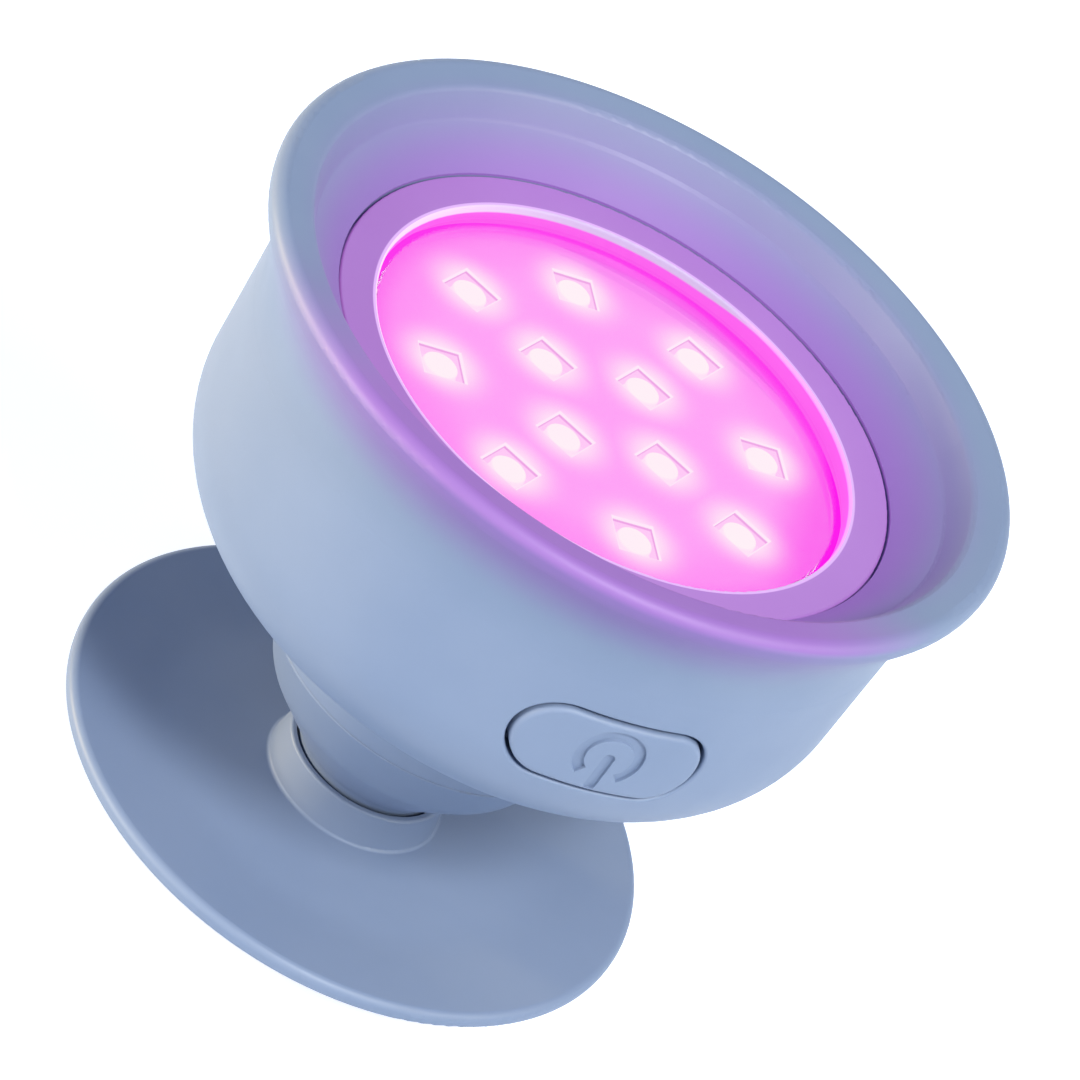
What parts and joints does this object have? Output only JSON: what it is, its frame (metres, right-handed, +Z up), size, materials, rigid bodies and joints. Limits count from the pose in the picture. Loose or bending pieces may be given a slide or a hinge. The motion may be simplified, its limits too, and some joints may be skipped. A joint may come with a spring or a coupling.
{
  "type": "acne light therapy device",
  "caption": "Handheld light therapy device: a flared cup with square light emitters behind a clear window, a flush oval power button and a neck that stands in a round base.",
  "frame": {"origin": "centre of the underside of the base, on the surface that the device stands on", "axes": "+Z up the common axis of base, neck and cup, towards the rim of the cup; the power button faces -Y and the charging socket faces +Y"},
  "size_m": [0.0728, 0.0728, 0.0609],
  "materials": {
    "housing": "fine matte periwinkle blue moulding",
    "soft_cup": "soft matte silicone, same blue as the housing, slightly translucent",
    "button": "soft touch matte blue",
    "bezel": "matte blue, lit violet by the emitters",
    "window": "clear polished acrylic",
    "reflector": "satin white moulding",
    "emitter": "white package with a clear filled cup",
    "white_board": "white solder mask",
    "spreader": "bead blasted",
    "steel": "zinc plated",
    "magnet": "nickel plated",
    "soft_pad": "matte silicone, a darker blue",
    "bush": "self lubricating acetal",
    "seal": "pale translucent silicone",
    "inner_plastic": "plain natural moulding",
    "foam": "closed cell foam tape",
    "cell_foil": "laminated foil pouch",
    "green_board": "green solder mask",
    "chip": "black moulding compound",
    "plunger": "white nylon",
    "socket": "nickel plated shell",
    "wire": "silicone insulated lead"
  },
  "bodies": {
    "base": {"base_saucer": "housing", "ballast_plate": "steel", "foot_pad": "soft_pad"},
    "bush": {"swivel_bush": "bush"},
    "head": {"neck_stem": "housing", "stem_magnet": "magnet", "neck_screws": "steel", "housing_bowl": "housing", "face_cup": "soft_cup", "bezel_ring": "bezel", "lens_window": "window", "lens_gasket": "seal", "reflector_plate": "reflector", "outer_emitters": "emitter", "inner_emitters": "emitter", "light_board": "white_board", "heat_spreader": "spreader", "module_screws": "steel", "support_ring": "inner_plastic", "flange_screws": "steel", "battery_tray": "inner_plastic", "tray_screws": "steel", "cell_pad": "foam", "battery_cell": "cell_foil", "control_board": "green_board", "board_screws": "steel", "control_chips": "chip", "switch_body": "chip", "charge_socket": "socket", "port_seal": "seal", "battery_leads": "wire", "light_leads": "wire"},
    "button": {"power_button": "button", "switch_plunger": "plunger"}
  },
  "joints": [
    {"name": "head_swivel", "type": "hinge", "parent": "base", "child": "bush", "pos_m": [0, 0, 0.004], "axis": [0, 0, 1], "continuous": true},
    {"name": "head_lift", "type": "slide", "parent": "bush", "child": "head", "axis": [0, 0, 1], "range_m": [0, 0.02]},
    {"name": "button_press", "type": "slide", "parent": "head", "child": "button", "axis": [0, 1, 0], "range_m": [0, 0.0006], "stiffness_N_per_m": 3000}
  ]
}
